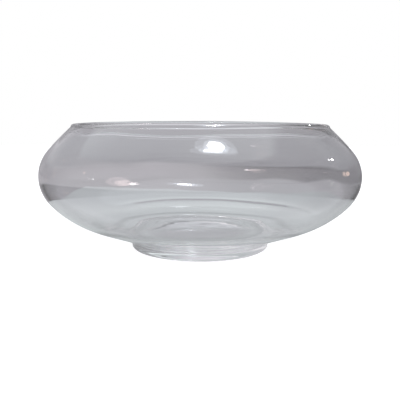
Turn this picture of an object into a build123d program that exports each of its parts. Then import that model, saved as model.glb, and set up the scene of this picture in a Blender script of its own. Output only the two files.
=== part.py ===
from build123d import *

import os
from math import asin, cos, degrees, radians, sin

# A low, wide bowl of clear glass with an inward shoulder, a round lip and a small foot.
# Millimetres, +Z up. The origin is the centre of the foot's resting face, and +Z is the
# axis of revolution. Each piece is a revolved solid, and neighbours meet face to face.
# All outlines are drawn in the XZ plane as (radius, height).

# Belly: one round side arc, which runs on tangentially into a shallow shoulder arc above
# and into a flank arc and a straight underside below.
belly_radius = 150.0  # widest radius of the bowl
belly_height = 70.7  # height of that widest circle
side_radius = 36.0
side_up = 41.5  # degrees of the side arc above the widest circle
side_down = 42.0  # degrees of the side arc below it
shoulder_radius = 300.0
shoulder_sweep = 10.0  # enough to run past the lip, where the wall is cut level
flank_radius = 85.0
flank_sweep = 27.5
wall = 2.4  # thickness of the blown wall

# Lip: the wall swells towards it, because its inside curves in more, and it ends in a
# fire-polished bead that is flush with the outside.
inner_shoulder_radius = 202.0
lip_height = 115.1  # of the wall's flat top edge, on which the bead is seated
bead_radius = 2.35
bead_middle = 118.6  # radius of the circle that the bead's section is swept around

# Base: a thick floor. Its inside is level in the middle and curves up to meet the wall's
# inside at the flank, and its outside runs down through a cove to the foot.
seam_radius = 76.0  # where the wall and the floor disc are fused
floor_height = 15.5
cove_radius = 4.5

# Foot: a low round pad, hollowed underneath inside its flat resting ring.
foot_radius = 67.0
foot_height = 5.0
foot_edge = 2.4
hollow_radius = 52.0
hollow_depth = 2.5

dip = radians(side_down + flank_sweep)  # from level, of the normal to the underside
side_middle = (belly_radius - side_radius, belly_height)
flank_middle = (
    side_middle[0] - (flank_radius - side_radius) * cos(radians(side_down)),
    side_middle[1] + (flank_radius - side_radius) * sin(radians(side_down)),
)
inner_flank_low = flank_middle[1] - (flank_radius - wall) * sin(dip)
floor_radius = (inner_flank_low - floor_height) / (1 - sin(dip))
floor_middle = (
    flank_middle[0] - (floor_radius - flank_radius + wall) * cos(dip),
    floor_height + floor_radius,
)


def belly_line(depth, upper_radius):
    """Draw the belly's line at a depth below the outer surface, and return its two ends."""
    side = CenterArc(side_middle, side_radius - depth, -side_down, side_down + side_up)
    shoulder = JernArc(side @ 1, side % 1, upper_radius, shoulder_sweep)
    flank = JernArc(side @ 0, -(side % 0), flank_radius - depth, -flank_sweep)
    return flank @ 1, shoulder @ 1


def underside(radius):
    """Return the point of the straight underside at a radius."""
    drop = (flank_radius - (radius - flank_middle[0]) * cos(dip)) / sin(dip)
    return (radius, flank_middle[1] - drop)


os.makedirs("parts", exist_ok=True)

# The bead is a half round, with its flat on the wall.
with BuildPart() as rim_bead:
    with BuildSketch(Plane.XZ):
        with Locations((bead_middle, lip_height)):
            Circle(bead_radius)
            Rectangle(4 * bead_radius, 2 * bead_radius, align=(Align.CENTER, Align.MAX), mode=Mode.SUBTRACT)
    revolve(axis=Axis.Z)
rim_bead.part.label = "rim_bead"
export_step(rim_bead.part, "parts/rim_bead.step")

# The blown wall ends in a flat ring under the bead and in a cylinder around the floor.
with BuildPart() as bowl_wall:
    with BuildSketch(Plane.XZ):
        with BuildLine():
            outer_low, outer_high = belly_line(0, shoulder_radius)
            inner_low, inner_high = belly_line(wall, inner_shoulder_radius)
            outer_end = Line(outer_low, underside(foot_radius))
            floor_curve = CenterArc(floor_middle, floor_radius, -90, 90 - degrees(dip))
            Line(outer_end @ 1, floor_curve @ 0)
            Line(outer_high, inner_high)
        make_face()
        with Locations((0, lip_height)):
            Rectangle(belly_radius, lip_height, align=(Align.MIN, Align.MIN), mode=Mode.SUBTRACT)
        Rectangle(seam_radius, lip_height, align=(Align.MIN, Align.MIN), mode=Mode.SUBTRACT)
    revolve(axis=Axis.Z)
bowl_wall.part.label = "bowl_wall"
export_step(bowl_wall.part, "parts/bowl_wall.step")

# The floor disc closes the wall and stands on the foot.
seam_turn = degrees(asin((seam_radius - floor_middle[0]) / floor_radius))
cove_corner = underside(foot_radius)
with BuildPart() as floor_disc:
    with BuildSketch(Plane.XZ):
        with BuildLine():
            floor_curve = CenterArc(floor_middle, floor_radius, -90, seam_turn)
            Polyline(
                floor_curve @ 1,
                underside(seam_radius),
                cove_corner,
                (foot_radius, foot_height),
                (0, foot_height),
                (0, floor_height),
                floor_curve @ 0,
            )
        make_face()
        fillet(vertices().sort_by_distance(cove_corner)[0], cove_radius)
    revolve(axis=Axis.Z)
floor_disc.part.label = "floor_disc"
export_step(floor_disc.part, "parts/floor_disc.step")

# The foot pad carries the bowl: the flat ring of its underside is the resting face.
hollow_curve = (hollow_radius**2 + hollow_depth**2) / (2 * hollow_depth)
with BuildPart() as foot_pad:
    with BuildSketch(Plane.XZ):
        Rectangle(foot_radius, foot_height, align=(Align.MIN, Align.MIN))
        fillet(vertices().group_by(Axis.Y)[0].sort_by(Axis.X)[-1], foot_edge)
        with Locations((0, hollow_depth - hollow_curve)):
            Circle(hollow_curve, mode=Mode.SUBTRACT)
    revolve(axis=Axis.Z)
foot_pad.part.label = "foot_pad"
export_step(foot_pad.part, "parts/foot_pad.step")
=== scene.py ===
import math

import bpy
import numpy as np
from mathutils import Matrix, Vector, noise


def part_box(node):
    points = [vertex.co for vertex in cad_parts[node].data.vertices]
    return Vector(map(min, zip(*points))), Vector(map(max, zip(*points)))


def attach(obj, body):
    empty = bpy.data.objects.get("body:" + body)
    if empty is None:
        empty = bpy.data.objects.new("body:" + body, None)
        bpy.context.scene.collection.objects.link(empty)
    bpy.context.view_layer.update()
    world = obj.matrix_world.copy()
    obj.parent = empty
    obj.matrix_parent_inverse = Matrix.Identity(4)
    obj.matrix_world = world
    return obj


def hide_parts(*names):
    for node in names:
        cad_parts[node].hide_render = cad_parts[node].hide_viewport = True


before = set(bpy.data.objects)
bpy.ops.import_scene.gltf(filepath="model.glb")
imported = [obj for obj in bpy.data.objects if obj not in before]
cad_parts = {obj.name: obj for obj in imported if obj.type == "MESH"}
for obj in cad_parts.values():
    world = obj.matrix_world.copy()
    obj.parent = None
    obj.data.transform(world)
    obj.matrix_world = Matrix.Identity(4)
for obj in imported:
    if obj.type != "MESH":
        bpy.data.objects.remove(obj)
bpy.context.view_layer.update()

MM = 0.001


def highest(node):
    """The highest corner of a node's box."""
    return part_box(node)[1]


# ---------------------------------------------------------------- sizes of the glass, in metres
BELLY_RADIUS = highest("bowl_wall").y
BELLY_HEIGHT = 70.7 * MM
SEAM_RADIUS = highest("floor_disc").y  # of the seam between the wall and the floor disc
OUTER_SEAM_HEIGHT = 12.1 * MM
INNER_SEAM_HEIGHT = 17.9 * MM
FOOT_RADIUS = highest("foot_pad").y
FOOT_HEIGHT = highest("foot_pad").z
LIP_HEIGHT = 115.1 * MM
BEAD_RADIUS = 2.35 * MM
BEAD_MIDDLE = 118.6 * MM  # from the axis to the middle of the lip's bead

WALL = 2.4 * MM
SIDE_RADIUS = 36 * MM
SIDE_UP, SIDE_DOWN = 41.5, 42.0  # degrees above and below the widest circle
SHOULDER_RADIUS = 300 * MM
FLANK_RADIUS = 85 * MM
FLANK_SWEEP = 27.5  # degrees
DIP = SIDE_DOWN + FLANK_SWEEP  # from level, of the underside's normal
INNER_SHOULDER_RADIUS = 202 * MM  # less than the outside's, so that the wall swells towards the lip
FLOOR_RADIUS = 168 * MM  # curvature of the inside, from the flank down to the level floor
COVE_RADIUS = 4.5 * MM
FOOT_EDGE = 2.4 * MM
HOLLOW_RADIUS = 52 * MM  # the foot's underside is hollowed a little inside its resting ring
HOLLOW_DEPTH = 2.5 * MM

SEGMENTS = 288
STEP = 0.8 * MM  # spacing of outline points
AT_AXIS = 1e-6  # a radius below this is a point on the axis

# ---------------------------------------------------------------- how blown glass varies
MELT = 0.45 * MM  # how far fire polishing has rounded the corners of the section
MELT_POINTS = 3  # points of the section in that length
WAVE_FINENESS = 22.0  # waves per metre
OUTER_WAVE = 0.04 * MM
INNER_WAVE = 0.35 * MM
INNER_NOISE = Vector((40, 0, 0))  # where the noise is read for the inside, apart from the outside's

RINGS = (  # height, rise and width of the faint rings that the blower's tools left on the inside
    (19.5 * MM, 0.35 * MM, 0.9 * MM),
    (28.5 * MM, 0.50 * MM, 1.0 * MM),
    (112.0 * MM, 0.30 * MM, 0.5 * MM),
)
RING_REACH = 4  # widths, from a ring's middle to where it has died away
WANDER = 1.5 * MM  # how far the rings go up and down
WANDER_FINENESS = 1.3
WANDER_NOISE = Vector((0, 0, 7))
RING_CLEAREST = 0.1  # across the bowl, from -1 at the left to 1 at the right
RING_GONE = 0.95  # this far across from there
RING_FADE = 0.2  # the width over which they fade


# ---------------------------------------------------------------- the section of the glass
def arc(centre, radius, start, end):
    """Points of an arc in the (radius, height) plane, angles in degrees."""
    count = max(8, math.ceil(radius * abs(math.radians(end - start)) / STEP))
    turn = np.radians(np.linspace(start, end, count))
    return np.column_stack([centre[0] + radius * np.cos(turn), centre[1] + radius * np.sin(turn)])


def belly(depth, shoulder_radius):
    """The belly's line from the flank's lower end to the lip, at a depth below the outer surface."""
    side = np.array([BELLY_RADIUS - SIDE_RADIUS, BELLY_HEIGHT])
    up = math.radians(SIDE_UP)
    down = math.radians(SIDE_DOWN)
    above = side - (shoulder_radius - SIDE_RADIUS + depth) * np.array([math.cos(up), math.sin(up)])
    below = side - (FLANK_RADIUS - SIDE_RADIUS) * np.array([math.cos(down), -math.sin(down)])
    lip_turn = math.degrees(math.asin((LIP_HEIGHT - above[1]) / shoulder_radius))
    return np.vstack([
        arc(below, FLANK_RADIUS - depth, -DIP, -SIDE_DOWN),
        arc(side, SIDE_RADIUS - depth, -SIDE_DOWN, SIDE_UP)[1:],
        arc(above, shoulder_radius, SIDE_UP, lip_turn)[1:],
    ])


def fillet(before, corner, after, radius):
    """The arc's points that round a corner of the section."""
    before, corner, after = (np.array(p, float) for p in (before, corner, after))
    u = (before - corner) / np.linalg.norm(before - corner)
    v = (after - corner) / np.linalg.norm(after - corner)
    half = math.acos(float(np.clip(u @ v, -1, 1))) / 2
    centre = corner + (u + v) / np.linalg.norm(u + v) * radius / math.sin(half)
    start = corner + u * radius / math.tan(half) - centre
    end = corner + v * radius / math.tan(half) - centre
    first = math.degrees(math.atan2(start[1], start[0]))
    sweep = math.degrees(math.atan2(start[0] * end[1] - start[1] * end[0], start @ end))
    return arc(centre, radius, first, first + sweep)


def section():
    """The whole section as one line.

    It runs under the foot, up the outside, over the lip and down the inside to the floor's middle.
    """
    outside = belly(0, SHOULDER_RADIUS)
    inside = belly(WALL, INNER_SHOULDER_RADIUS)[::-1]
    rise = math.tan(math.radians(90 - DIP))
    cove_corner = outside[0] - (outside[0, 0] - FOOT_RADIUS) * np.array([1, rise])
    floor_turn = math.radians(DIP)
    floor_middle = inside[-1] + FLOOR_RADIUS * np.array([-math.cos(floor_turn), math.sin(floor_turn)])
    hollow_curve = (HOLLOW_RADIUS ** 2 + HOLLOW_DEPTH ** 2) / (2 * HOLLOW_DEPTH)
    hollow_edge = math.degrees(math.acos(HOLLOW_RADIUS / hollow_curve))
    floor_line = arc(floor_middle, FLOOR_RADIUS, -DIP, -90)[1:]
    return np.vstack([
        arc([0, HOLLOW_DEPTH - hollow_curve], hollow_curve, 90, hollow_edge),
        fillet([HOLLOW_RADIUS, 0], [FOOT_RADIUS, 0], [FOOT_RADIUS, FOOT_HEIGHT], FOOT_EDGE),
        [[FOOT_RADIUS, FOOT_HEIGHT]],
        fillet([FOOT_RADIUS, FOOT_HEIGHT], cove_corner, outside[0], COVE_RADIUS),
        outside,
        arc([BEAD_MIDDLE, LIP_HEIGHT], BEAD_RADIUS, 0, 180),
        inside,
        floor_line,
        [[0, floor_line[-1, 1]]],
    ])


def lengths_along(line):
    """How far each point is along a line."""
    return np.concatenate([[0], np.cumsum(np.linalg.norm(np.diff(line, axis=0), axis=1))])


def resample(line, step):
    """The same line with evenly spaced points."""
    run = lengths_along(line)
    even = np.linspace(0, run[-1], math.ceil(run[-1] / step) + 1)
    return np.column_stack([np.interp(even, run, line[:, 0]), np.interp(even, run, line[:, 1])])


def melt(line):
    """Round the section's corners as fire polishing does: a short running average along the line."""
    fine = resample(line, MELT / MELT_POINTS)
    reach = 3 * MELT_POINTS
    weights = np.exp(-0.5 * (np.arange(-reach, reach + 1) / MELT_POINTS) ** 2)
    weights /= weights.sum()
    mirror = np.array([-1, 1])
    padded = np.vstack([fine[reach:0:-1] * mirror, fine, fine[-2:-reach - 2:-1] * mirror])
    return np.column_stack([np.convolve(padded[:, i], weights, "valid") for i in (0, 1)])


def thin(line, turn=math.radians(4), reach=3 * MM, fine_reach=0.45 * MM):
    """Keep only the points that the line's curves need, and more of them where there is a ring."""
    kept = [0]
    heading = np.unwrap(np.arctan2(*np.diff(line, axis=0).T[::-1]))
    run = lengths_along(line)
    top = int(np.argmax(line[:, 1]))
    for i in range(1, len(line) - 1):
        near_ring = any(abs(line[i, 1] - z) < RING_REACH * width + WANDER for z, _, width in RINGS)
        longest = fine_reach if i > top and near_ring else reach
        if abs(heading[i] - heading[kept[-1]]) > turn or run[i] - run[kept[-1]] > longest:
            kept.append(i)
    return line[kept + [len(line) - 1]]


LINE = thin(melt(section()))
RUN = lengths_along(LINE)
TOP = int(np.argmax(LINE[:, 1]))


def nearest(radius, height, start=0, end=None):
    """Index of the section point nearest to a place."""
    away = np.hypot(LINE[start:end, 0] - radius, LINE[start:end, 1] - height)
    return start + int(np.argmin(away))


FOOT_TOP = nearest(FOOT_RADIUS, FOOT_HEIGHT)
OUTER_SEAM = nearest(SEAM_RADIUS, OUTER_SEAM_HEIGHT, end=TOP)
INNER_SEAM = nearest(SEAM_RADIUS, INNER_SEAM_HEIGHT, start=TOP)
OUTER_LIP = nearest(BEAD_MIDDLE + BEAD_RADIUS, LIP_HEIGHT, end=TOP)
INNER_LIP = nearest(BEAD_MIDDLE - BEAD_RADIUS, LIP_HEIGHT, start=TOP)
FLOOR_MIDDLE = len(LINE) - 1

INWARD = np.interp(RUN, [RUN[OUTER_LIP], RUN[INNER_LIP]], [0, 1])  # 0 on the outside, 1 on the inside
CALM = np.clip(LINE[:, 1] / (2 * FOOT_HEIGHT) - 0.5, 0, 1)  # 0 on the foot, 1 from three times its height


# ---------------------------------------------------------------- the glass as one turned surface
def turned(line):
    """The grid of points that a section line sweeps when it is turned about the axis."""
    turn = np.arange(SEGMENTS) * 2 * math.pi / SEGMENTS
    x = np.outer(line[:, 0], np.cos(turn))
    y = np.outer(line[:, 0], np.sin(turn))
    z = np.repeat(line[:, 1:], SEGMENTS, axis=1)
    return np.stack([x, y, z], axis=2)


def surface_normals(grid):
    """Outward normals of the turned surface, from the differences between neighbouring points."""
    around = np.roll(grid, -1, axis=1) - np.roll(grid, 1, axis=1)
    along = np.gradient(grid, RUN, axis=0)
    normals = np.cross(around, along)
    lengths = np.linalg.norm(normals, axis=2, keepdims=True)
    smallest = 1e-12
    normals /= np.maximum(lengths, smallest)
    normals[0] = (0, 0, -1)
    normals[-1] = (0, 0, 1)
    return normals


def rings(point):
    """How far the faint rings on the inside stand out at a point.

    They wander up and down a little, and they fade towards the left and the right.
    """
    around = Vector((point[0], point[1], 0)).normalized()
    height = point[2] + WANDER * noise.noise(around * WANDER_FINENESS + WANDER_NOISE)
    strength = min(1, max(0, (RING_GONE - abs(around.x - RING_CLEAREST)) / RING_FADE))
    return strength * sum(rise * math.exp(-0.5 * ((height - z) / width) ** 2) for z, rise, width in RINGS)


def ripple(points, normals):
    """Push the surface in and out a little, as blown glass varies: more on the inside than outside."""
    out = points.copy()
    for i in range(len(points)):
        for j in range(SEGMENTS):
            place = Vector(points[i, j]) * WAVE_FINENESS
            outer = OUTER_WAVE * noise.noise(place)
            inner = INNER_WAVE * noise.noise(place + INNER_NOISE)
            push = (outer + (inner - outer) * INWARD[i]) * CALM[i]
            if INWARD[i] == 1:
                push += rings(points[i, j])
            out[i, j] += normals[i, j] * push
    return out


SMOOTH_GRID = turned(LINE)
GRID = ripple(SMOOTH_GRID, surface_normals(SMOOTH_GRID))
NORMALS = surface_normals(GRID)


# ---------------------------------------------------------------- node trees
class NodeTree:
    """Short ways to add nodes. A value is a number, a vector, a colour or another node's output."""

    def __init__(self, tree):
        self.nodes = tree.nodes
        self.links = tree.links

    def feed(self, target, source):
        """Link or set an input."""
        if isinstance(source, bpy.types.NodeSocket):
            self.links.new(source, target)
        else:
            target.default_value = source

    def combined(self, operation, a, b):
        """A sum of two numbers, or another operation on them."""
        node = self.nodes.new("ShaderNodeMath")
        node.operation = operation
        self.feed(node.inputs[0], a)
        self.feed(node.inputs[1], b)
        return node.outputs[0]

    def vector_node(self, operation, vector):
        """A new vector maths node with its first input set."""
        node = self.nodes.new("ShaderNodeVectorMath")
        node.operation = operation
        self.feed(node.inputs[0], vector)
        return node

    def towards(self, vector, heading):
        """How far a vector points along a heading, from -1 to 1 where both are one long."""
        node = self.vector_node("DOT_PRODUCT", vector)
        node.inputs[1].default_value = heading
        return node.outputs["Value"]

    def length(self, vector):
        """A vector's length."""
        return self.vector_node("LENGTH", vector).outputs["Value"]

    def scaled(self, colour, amount):
        """A colour times a number."""
        node = self.vector_node("SCALE", colour)
        self.feed(node.inputs["Scale"], amount)
        return node.outputs["Vector"]

    def eased(self, value, span, low, high):
        """A smooth step from low to high as the value goes from one end of the span to the other."""
        node = self.nodes.new("ShaderNodeMapRange")
        node.interpolation_type = "SMOOTHSTEP"
        self.feed(node.inputs["Value"], value)
        for name, number in zip(("From Min", "From Max", "To Min", "To Max"), (*span, low, high)):
            node.inputs[name].default_value = number
        return node.outputs["Result"]

    def ramp(self, value, stops):
        """Colours along a value, from pairs of position and colour."""
        node = self.nodes.new("ShaderNodeValToRGB")
        self.feed(node.inputs["Fac"], value)
        elements = node.color_ramp.elements
        while len(elements) < len(stops):
            elements.new(1.0)
        for element, (position, colour) in zip(elements, stops):
            element.position = position
            element.color = (*colour, 1)
        return node.outputs["Color"]

    def blended(self, amount, a, b):
        """A colour between two others."""
        node = self.nodes.new("ShaderNodeMix")
        node.data_type = "RGBA"
        self.feed(node.inputs["Factor"], amount)
        self.feed(node.inputs["A"], a)
        self.feed(node.inputs["B"], b)
        return node.outputs["Result"]

    def pattern(self, place, scale, detail, distortion=0.0):
        """A noise pattern, from 0 to 1."""
        node = self.nodes.new("ShaderNodeTexNoise")
        self.feed(node.inputs["Vector"], place)
        node.inputs["Scale"].default_value = scale
        node.inputs["Detail"].default_value = detail
        node.inputs["Distortion"].default_value = distortion
        return node.outputs["Fac"]

    def place(self, kind="Object"):
        """Where a point is in its object, or the direction that the world is seen in."""
        return self.nodes.new("ShaderNodeTexCoord").outputs[kind]


def principled(name):
    """A new node material, its node tree and its Principled shader."""
    material = bpy.data.materials.new(name)
    material.use_nodes = True
    return material, NodeTree(material.node_tree), material.node_tree.nodes["Principled BSDF"]


# ---------------------------------------------------------------- the glass and its pieces
def glass_material():
    """Clear glass with a faint cool cast, faint smears in its polish and a very slight bump."""
    material, tree, shader = principled("clear_glass")
    shader.inputs["IOR"].default_value = 1.5
    shader.inputs["Transmission Weight"].default_value = 1.0
    place = tree.place()

    cast = ((0.35, (0.955, 0.955, 0.965)), (0.65, (0.975, 0.98, 0.985)))
    tint = tree.ramp(tree.pattern(place, scale=9.0, detail=2.0), cast)
    tree.feed(shader.inputs["Base Color"], tint)

    polish = tree.nodes.new("ShaderNodeMapRange")
    polish.inputs["From Min"].default_value = 0.45
    polish.inputs["From Max"].default_value = 0.75
    polish.inputs["To Min"].default_value = 0.0
    polish.inputs["To Max"].default_value = 0.04
    smears = tree.pattern(place, scale=35.0, detail=4.0, distortion=1.5)
    tree.feed(polish.inputs["Value"], smears)
    tree.feed(shader.inputs["Roughness"], polish.outputs["Result"])

    bump = tree.nodes.new("ShaderNodeBump")
    bump.inputs["Strength"].default_value = 0.15
    bump.inputs["Distance"].default_value = 0.2 * MM
    tree.feed(bump.inputs["Height"], tree.pattern(place, scale=22.0, detail=1.0))
    tree.feed(shader.inputs["Normal"], bump.outputs["Normal"])
    return material


def seam_material():
    """Where two pieces are fused the glass runs on, so the cut between them isn't seen."""
    material, _, shader = principled("fused_seam")
    shader.inputs["Alpha"].default_value = 0.0
    return material


def closed_surface(runs, seam_centre):
    """The points, normals and faces of a closed piece, and which of the faces are fused seams."""
    points = []
    normals = []
    rows = []
    seam_rows = set()

    def add_row(row_points, row_normals):
        """Add a ring of points, or the one point where the surface meets the axis."""
        first = len(points)
        pole = len(row_points) == 1
        rows.append([first] * SEGMENTS if pole else list(range(first, first + SEGMENTS)))
        points.extend(row_points)
        normals.extend(row_normals)

    starts_at_axis = LINE[runs[0][0], 0] < AT_AXIS
    if seam_centre is not None and not starts_at_axis:
        add_row([(0, 0, seam_centre)], [(0, 0, -1)])
        seam_rows.add(0)
    for start, end in runs:
        for i in range(start, end + 1):
            pole = LINE[i, 0] < AT_AXIS
            add_row(GRID[i, :1] if pole else GRID[i], NORMALS[i, :1] if pole else NORMALS[i])
        seam_rows.add(len(rows) - 1)
    if seam_centre is not None and starts_at_axis:
        add_row([(0, 0, seam_centre)], [(0, 0, 1)])

    faces = []
    is_seam = []
    goes_round = seam_centre is None  # the last row joins the first, as in a ring
    for a in range(len(rows) if goes_round else len(rows) - 1):
        b = (a + 1) % len(rows)
        for j in range(SEGMENTS):
            k = (j + 1) % SEGMENTS
            corners = [rows[a][j], rows[a][k], rows[b][k], rows[b][j]]
            faces.append(list(dict.fromkeys(corners)))
            is_seam.append(a in seam_rows)
    return points, normals, faces, is_seam


def glass_piece(name, node, runs, seam_centre=None):
    """Make one closed piece from runs of the section; the cuts between its runs are its fused seams.

    A seam that reaches the axis has its middle point at the height seam_centre.
    """
    points, normals, faces, is_seam = closed_surface(runs, seam_centre)
    mesh = bpy.data.meshes.new(name)
    mesh.from_pydata([tuple(p) for p in points], [], faces)
    mesh.materials.append(GLASS)
    mesh.materials.append(SEAM)
    mesh.polygons.foreach_set("material_index", np.array(is_seam, np.int32))
    mesh.polygons.foreach_set("use_smooth", np.ones(len(faces), bool))
    loop_vertex = np.zeros(len(mesh.loops), np.int32)
    mesh.loops.foreach_get("vertex_index", loop_vertex)
    mesh.normals_split_custom_set(np.array(normals, float)[loop_vertex].tolist())
    mesh.update()
    piece = bpy.data.objects.new(name, mesh)
    bpy.context.scene.collection.objects.link(piece)
    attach(piece, "root")
    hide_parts(node)


GLASS = glass_material()
SEAM = seam_material()

glass_piece("lip_glass", "rim_bead", [(OUTER_LIP, INNER_LIP)])
glass_piece("wall_glass", "bowl_wall", [(OUTER_SEAM, OUTER_LIP), (INNER_LIP, INNER_SEAM)])
glass_piece("floor_glass", "floor_disc", [(FOOT_TOP, OUTER_SEAM), (INNER_SEAM, FLOOR_MIDDLE)], FOOT_HEIGHT)
glass_piece("foot_glass", "foot_pad", [(0, FOOT_TOP)], FOOT_HEIGHT)


# ---------------------------------------------------------------- the plain stage, in metres
# The camera sees an even white floor. What the glass bends and mirrors is a pale four-cornered
# table, so that the glass has tones of its own to show, as it has in a room.
STAGE_FLOOR_RADIUS = 6.0
STAGE_FLOOR_SIDES = 96
STAGE_FLOOR_HEIGHT = -0.1 * MM
STAGE_FLOOR_GLOW = 0.75
TABLE_HEIGHT = -0.2 * MM
TABLE_CORNERS = ((-0.23, 0.46), (0.25, 0.34), (0.25, -0.5), (-0.23, -0.5))
TABLE_PAINTED_LIGHT_AND_SHADE = (  # by the distance from the bowl's axis: painted shade under the foot's hollow and where the foot meets the table, and a painted band of light that the bowl gathers further out
    (0.04, (0.36, 0.36, 0.38)),
    (0.055, (0.50, 0.52, 0.53)),
    (0.064, (0.34, 0.35, 0.36)),
    (0.075, (0.50, 0.53, 0.54)),
    (0.12, (0.54, 0.57, 0.58)),
    (0.18, (0.64, 0.67, 0.68)),
    (0.30, (0.54, 0.56, 0.58)),
)
TABLE_RIGHT_SHADOW_SPAN = (0.05, 0.20)  # between these distances to the right of the axis the table darkens: a painted shadow of the bowl, as if lit from the front on the left
TABLE_RIGHT_SHADOW_TONE = 0.80
SHADE_RING = 0.100  # radius of the faint ring of shade that the bowl casts on the table around its foot
SHADE_RING_SPAN = (0.001, 0.012)  # from the ring's middle line, full shade to none
SHADE_RING_TONE = 0.70
GATHERED = (  # middle, reach and gain of the light that the bowl gathers on the table, towards its back
    ((-0.026, 0.155), (0.014, 0.008), 1.1),
    ((-0.012, 0.079), (0.008, 0.005), 1.1),
)
GATHERED_SPAN = (0.0, 1.5)  # in reaches, from full gain to none


def floor_material():
    """A plain matt white with an even glow."""
    material, _, shader = principled("floor_white")
    shader.inputs["Base Color"].default_value = (0.8, 0.8, 0.8, 1)
    shader.inputs["Roughness"].default_value = 0.9
    shader.inputs["Specular IOR Level"].default_value = 0.0
    shader.inputs["Emission Color"].default_value = (1, 1, 1, 1)
    shader.inputs["Emission Strength"].default_value = STAGE_FLOOR_GLOW
    return material


def table_material():
    """A pale table top that glows evenly, with the bowl's soft shade and gathered light on it."""
    material, tree, shader = principled("table_pale")
    shader.inputs["Base Color"].default_value = (0, 0, 0, 1)
    shader.inputs["Specular IOR Level"].default_value = 0.0
    shader.inputs["Emission Strength"].default_value = 1.0
    place = tree.place()
    away = tree.length(place)
    # the table's glow, with painted shade at the foot and a painted band of gathered light, by the
    # distance from the axis
    tone = tree.ramp(away, TABLE_PAINTED_LIGHT_AND_SHADE)

    # painted shadow of the bowl on the right of the table, times the painted ring of shade around the
    # foot, plus painted spots of light that the bowl gathers
    shade = tree.eased(tree.towards(place, (1, 0, 0)), TABLE_RIGHT_SHADOW_SPAN, 1.0, TABLE_RIGHT_SHADOW_TONE)
    off_ring = tree.combined("ABSOLUTE", tree.combined("SUBTRACT", away, SHADE_RING), 0)
    ring_shade = tree.eased(off_ring, SHADE_RING_SPAN, SHADE_RING_TONE, 1)
    shade = tree.combined("MULTIPLY", shade, ring_shade)
    for middle, reach, gain in GATHERED:
        spot = tree.nodes.new("ShaderNodeMapping")
        spot.vector_type = "TEXTURE"
        spot.inputs["Location"].default_value = (*middle, 0)
        spot.inputs["Scale"].default_value = (*reach, 1)
        tree.feed(spot.inputs["Vector"], place)
        off_middle = tree.length(spot.outputs["Vector"])
        shade = tree.combined("ADD", shade, tree.eased(off_middle, GATHERED_SPAN, gain, 0))
    tree.feed(shader.inputs["Emission Color"], tree.scaled(tone, shade))
    return material


def stage_sheet(name, corners, height, material):
    """A flat sheet under the bowl, part of the stage."""
    mesh = bpy.data.meshes.new(name)
    mesh.from_pydata([(x, y, height) for x, y in corners], [], [list(range(len(corners)))])
    mesh.materials.append(material)
    sheet = bpy.data.objects.new(name, mesh)
    bpy.context.scene.collection.objects.link(sheet)
    return sheet


floor_turns = np.arange(STAGE_FLOOR_SIDES) * 2 * math.pi / STAGE_FLOOR_SIDES
floor_edge = [(STAGE_FLOOR_RADIUS * math.cos(t), STAGE_FLOOR_RADIUS * math.sin(t)) for t in floor_turns]
floor = stage_sheet("floor", floor_edge, STAGE_FLOOR_HEIGHT, floor_material())
floor.visible_diffuse = False
floor.visible_glossy = False
floor.visible_transmission = False
floor.visible_shadow = False

table = stage_sheet("table", TABLE_CORNERS, TABLE_HEIGHT, table_material())
table.visible_camera = False


# ---------------------------------------------------------------- the room
# Heights in the room are the sine of the angle above the horizon. A pair is where a soft edge
# starts and where it ends. Headings are level directions, with +Y straight behind the bowl.
BACK_WALL = (  # tones of the wall behind the bowl, by height
    (-0.12, (0.44, 0.43, 0.455)),
    (-0.06, (0.41, 0.395, 0.42)),
    (-0.03, (0.35, 0.34, 0.365)),
    (0.0, (0.385, 0.375, 0.40)),
    (0.04, (0.40, 0.39, 0.415)),
    (0.12, (0.40, 0.39, 0.415)),
    (0.26, (0.54, 0.53, 0.56)),
    (0.42, (0.40, 0.39, 0.42)),
)
RAMP_MIDDLE = 0.5  # the horizon's place on the ramp of tones, which goes from 0 to 1
DIM_WALL = (0.11, 0.11, 0.115)
BRIGHT_WALL = (1.10, 1.06, 1.09)
CEILING = (0.74, 0.77, 0.80)
DARK_FLOOR = (0.09, 0.09, 0.09)

BACK_LEFT = (-0.6, 0.8, 0)
FRONT_LEFT = (-0.71, -0.71, 0)
RIGHT = (1, 0, 0)
BACK = (0, 1, 0)
BACK_WALL_EDGE = (-0.3, 0.9)
BRIGHT_WALL_EDGE = (0.2, 1.0)
SHELF_FOOT = (-0.105, -0.09)
SHELF_TOP = (-0.05, -0.035)
SHELF_ACROSS = (-0.12, 0.18)
SHELF_LEFT, SHELF_RIGHT = -0.10, 0.36  # how much darker than the wall the shelf is
SHELF_BACK = (0.3, 0.7)
STRAIGHT_BACK = (0.80, 0.90)
WINDOW_FOOT = (0.16, 0.26)
WINDOW_GAIN = 0.4
CEILING_EDGE = (0.82, 0.88)
CEILING_DROP = 0.26  # how much lower the ceiling starts behind the bowl
FLOOR_EDGE = (-0.14, -0.11)
MIRRORED_ONCE = (0.25, 0.75)  # splits no reflection from one or more


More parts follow.
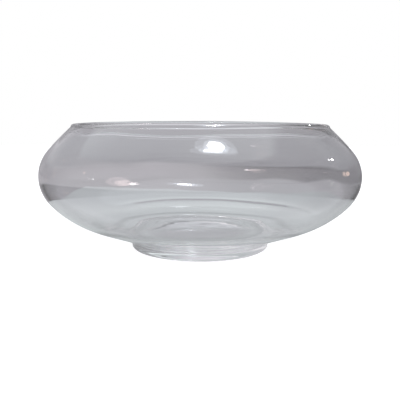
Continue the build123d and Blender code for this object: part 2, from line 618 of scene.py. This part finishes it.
def studio_world():
    """White behind the bowl for the camera. What the glass mirrors and bends is a soft room.

    What it mirrors has a wall that is bright in front on the left and dim on the right, over a dark
    floor. What is seen straight through it is as calm in every direction as it is behind the bowl.
    """
    world = bpy.data.worlds.new("studio")
    bpy.context.scene.world = world
    world.use_nodes = True
    tree = NodeTree(world.node_tree)
    nodes = tree.nodes
    place = tree.place("Generated")
    height = tree.towards(place, (0, 0, 1))
    level = tree.vector_node("MULTIPLY", place)
    level.inputs[1].default_value = (1, 1, 0)
    heading = tree.vector_node("NORMALIZE", level.outputs["Vector"]).outputs["Vector"]
    path = nodes.new("ShaderNodeLightPath")
    mirrored = tree.eased(path.outputs["Glossy Depth"], MIRRORED_ONCE, 0, 1)
    straight = tree.combined("SUBTRACT", 1.0, mirrored)

    over_foot = tree.eased(height, SHELF_FOOT, 0, 1)
    under_top = tree.eased(height, SHELF_TOP, 1, 0)
    across = tree.eased(tree.towards(heading, RIGHT), SHELF_ACROSS, SHELF_LEFT, SHELF_RIGHT)
    across = tree.combined("MULTIPLY", across, tree.eased(tree.towards(heading, BACK), SHELF_BACK, 0, 1))
    shelf = tree.combined("MULTIPLY", tree.combined("MULTIPLY", over_foot, under_top), across)
    straight_back = tree.eased(tree.towards(heading, BACK), STRAIGHT_BACK, 0, 1)
    window = tree.combined("MULTIPLY", tree.eased(height, WINDOW_FOOT, 0, WINDOW_GAIN), straight_back)
    darker = tree.combined("SUBTRACT", shelf, window)
    tones = [(RAMP_MIDDLE + z, colour) for z, colour in BACK_WALL]
    back_wall = tree.ramp(tree.combined("ADD", height, RAMP_MIDDLE), tones)
    back_wall = tree.scaled(back_wall, tree.combined("SUBTRACT", 1.0, darker))

    behind = tree.eased(tree.towards(heading, BACK_LEFT), BACK_WALL_EDGE, 0, 1)
    behind = tree.combined("MAXIMUM", behind, straight)
    bright = tree.eased(tree.towards(heading, FRONT_LEFT), BRIGHT_WALL_EDGE, 0, 1)
    bright = tree.combined("MULTIPLY", bright, mirrored)
    wall = tree.blended(behind, (*DIM_WALL, 1), back_wall)
    wall = tree.blended(bright, wall, (*BRIGHT_WALL, 1))
    raised = tree.combined("ADD", height, tree.combined("MULTIPLY", behind, CEILING_DROP))
    above = tree.blended(tree.eased(raised, CEILING_EDGE, 0, 1), wall, (*CEILING, 1))
    lit = tree.combined("MAXIMUM", tree.eased(height, FLOOR_EDGE, 0, 1), straight_back)
    lit = tree.combined("MAXIMUM", lit, straight)
    room = nodes["Background"]
    tree.feed(room.inputs["Color"], tree.blended(lit, (*DARK_FLOOR, 1), above))

    white = nodes.new("ShaderNodeBackground")
    white.inputs["Color"].default_value = (1, 1, 1, 1)
    mix = nodes.new("ShaderNodeMixShader")
    tree.feed(mix.inputs["Fac"], path.outputs["Is Camera Ray"])
    tree.feed(mix.inputs[1], room.outputs["Background"])
    tree.feed(mix.inputs[2], white.outputs["Background"])
    tree.feed(nodes["World Output"].inputs["Surface"], mix.outputs["Shader"])


studio_world()


# ---------------------------------------------------------------- the lamps
OVERHEAD = 60  # degrees up, past which a lamp's width is set along Y


def soft_light(name, mirrored_at, heading, distance, size, radiance, colour=(1, 1, 1)):
    """An oval light, placed by the point of the glass that mirrors it.

    The heading from there is in degrees, from +Y towards +X and up. The size is in degrees too,
    across and up.
    """
    turn, rise = (math.radians(angle) for angle in heading)
    aim = Vector((math.sin(turn) * math.cos(rise), math.cos(turn) * math.cos(rise), math.sin(rise)))
    light = bpy.data.lights.new(name, "AREA")
    light.shape = "ELLIPSE"
    light.size, light.size_y = (2 * distance * math.tan(math.radians(angle) / 2) for angle in size)
    light.energy = radiance * math.pi * light.size * light.size_y * math.pi / 4
    light.color = colour
    holder = bpy.data.objects.new(name, light)
    bpy.context.scene.collection.objects.link(holder)
    upright = Vector((0, 1, 0)) if rise > math.radians(OVERHEAD) else Vector((0, 0, 1))
    across = upright.cross(aim).normalized()
    axes = Matrix((across, aim.cross(across), aim)).transposed()
    holder.matrix_world = Matrix.Translation(Vector(mirrored_at) + aim * distance) @ axes.to_4x4()


SHOULDER = (0.0107, -0.1355, 0.100)
HIGH = (123.4, 81.8)
LEFT_SIDE = (-0.0525, -0.140, 0.0755)
COOL = (0.85, 0.92, 1)
soft_light("high_lamp", SHOULDER, HIGH, 5.0, (7.8, 4.2), 30)
soft_light("high_glow", SHOULDER, HIGH, 5.1, (11.5, 6.3), 3, COOL)
soft_light("high_haze", SHOULDER, HIGH, 5.2, (19.0, 9.5), 1.6, COOL)
soft_light("left_lamp", (-0.0441, -0.1430, 0.0758), (-136, 6), 2.0, (5, 5), 12, (1, 0.9, 0.9))
soft_light("left_window", LEFT_SIDE, (-129, 7), 2.1, (12, 12), 2.5, (1, 0.8, 0.78))
soft_light("left_glow", LEFT_SIDE, (-125, 9), 2.2, (18, 18), 1.2, (1, 0.8, 0.8))
soft_light("right_lamp", (0.0979, -0.1061, 0.0901), (63.9, 26.6), 2.0, (2.6, 2.6), 30)
soft_light("far_lamp", (0.1133, -0.0968, 0.0789), (62.4, 5.9), 2.0, (5, 5), 2.5, (1, 0.7, 0.55))


# ---------------------------------------------------------------- the camera
CAMERA_PLACE = (0, -0.440, 0.10524)
CAMERA_PITCH = 7.83  # degrees down
CAMERA_ROLL = 0.25  # degrees
LIGHT_BOUNCES = 64  # light crosses many walls of glass at the bowl's edges
CLEAR_BOUNCES = 128


def make_camera():
    """A camera in front of the bowl, at hand-held distance and just under the lip."""
    camera = bpy.data.objects.new("camera", bpy.data.cameras.new("camera"))
    bpy.context.scene.collection.objects.link(camera)
    camera.location = CAMERA_PLACE
    camera.rotation_mode = "YXZ"
    camera.rotation_euler = (math.radians(90 - CAMERA_PITCH), 0, 0)
    camera.rotation_euler.rotate_axis("Z", math.radians(CAMERA_ROLL))
    camera.data.sensor_width = 36
    camera.data.lens = 40.33
    camera.data.clip_start = 0.01
    bpy.context.scene.camera = camera


make_camera()
bpy.context.scene.view_settings.view_transform = "Standard"
bpy.context.scene.cycles.max_bounces = LIGHT_BOUNCES
bpy.context.scene.cycles.transmission_bounces = LIGHT_BOUNCES
bpy.context.scene.cycles.glossy_bounces = LIGHT_BOUNCES
bpy.context.scene.cycles.transparent_max_bounces = CLEAR_BOUNCES
